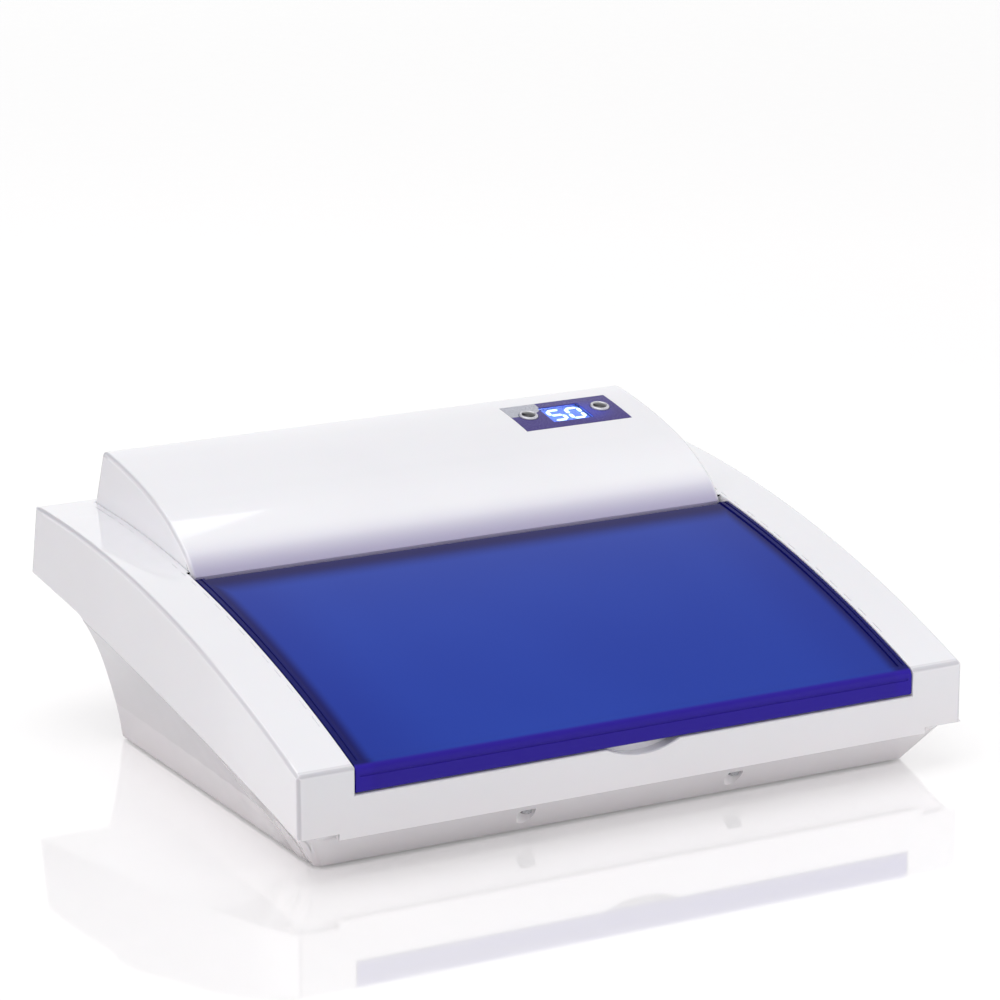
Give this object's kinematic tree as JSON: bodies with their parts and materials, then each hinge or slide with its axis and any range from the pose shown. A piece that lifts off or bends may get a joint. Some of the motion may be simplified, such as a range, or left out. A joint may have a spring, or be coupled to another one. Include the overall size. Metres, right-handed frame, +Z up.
{
  "type": "ultraviolet sterilizer cabinet",
  "caption": "Desktop ultraviolet sterilizer case with a tapered moulded base, hinged translucent lid over a tray chamber, domed lamp hood and timer panel.",
  "frame": {"origin": "centre of the footprint's box on the surface that the feet rest on", "axes": "+X to the right seen from the front, +Y from the fascia to the rear, +Z up"},
  "size_m": [0.39, 0.33, 0.148],
  "materials": {
    "case_white": "glossy injection moulded",
    "lid_blue": "glossy tinted, translucent",
    "steel": "fine brushed",
    "tub_white": "satin",
    "reflector": "bright rolled",
    "quartz": "clear",
    "cap_metal": "satin",
    "socket_white": "satin",
    "ballast_grey": "satin paint",
    "board_green": "solder mask",
    "part_black": "moulded",
    "display_blue": "glowing digits",
    "window_blue": "tinted, clear",
    "label_violet": "printed film",
    "button_silver": "silver with a dark centre",
    "reed_glass": "clear",
    "magnet": "plated",
    "inlet_black": "moulded",
    "lead_brown": "extruded",
    "lead_white": "extruded",
    "lead_red": "extruded",
    "rubber_grey": "moulded",
    "screw_steel": "turned"
  },
  "bodies": {
    "housing": {"upper_case": "case_white", "lower_case": "case_white", "hood_cover": "case_white", "chamber_tub": "tub_white", "tool_tray": "steel", "lamp_reflector": "reflector", "lamp_tube": "quartz", "lamp_caps": "cap_metal", "lamp_socket_left": "socket_white", "lamp_socket_right": "socket_white", "ballast": "ballast_grey", "control_board": "board_green", "board_parts": "part_black", "display_module": "display_blue", "display_window": "window_blue", "panel_overlay": "label_violet", "button_switches": "part_black", "reed_switch": "reed_glass", "mains_inlet": "inlet_black", "mains_leads": "lead_brown", "lamp_leads": "lead_white", "board_leads": "lead_red", "rubber_feet": "rubber_grey", "lid_bumpers": "rubber_grey", "case_screws": "screw_steel", "hood_screws": "screw_steel", "tub_screws": "screw_steel", "board_screws": "screw_steel"},
    "lid": {"lid": "lid_blue", "hinge_pins": "steel", "lid_magnet": "magnet"},
    "button_left": {"button_left": "button_silver"},
    "button_right": {"button_right": "button_silver"}
  },
  "joints": [
    {"name": "lid_hinge", "type": "hinge", "parent": "housing", "child": "lid", "pos_m": [0, 0.01805, 0.10126], "axis": [-1, 0, 0], "range_deg": [0, 115]},
    {"name": "button_left_press", "type": "slide", "parent": "housing", "child": "button_left", "axis": [0, 0.1836, -0.983], "range_m": [0, 0.0008], "stiffness_N_per_m": 400},
    {"name": "button_right_press", "type": "slide", "parent": "housing", "child": "button_right", "axis": [0, 0.1836, -0.983], "range_m": [0, 0.0008], "stiffness_N_per_m": 400}
  ]
}
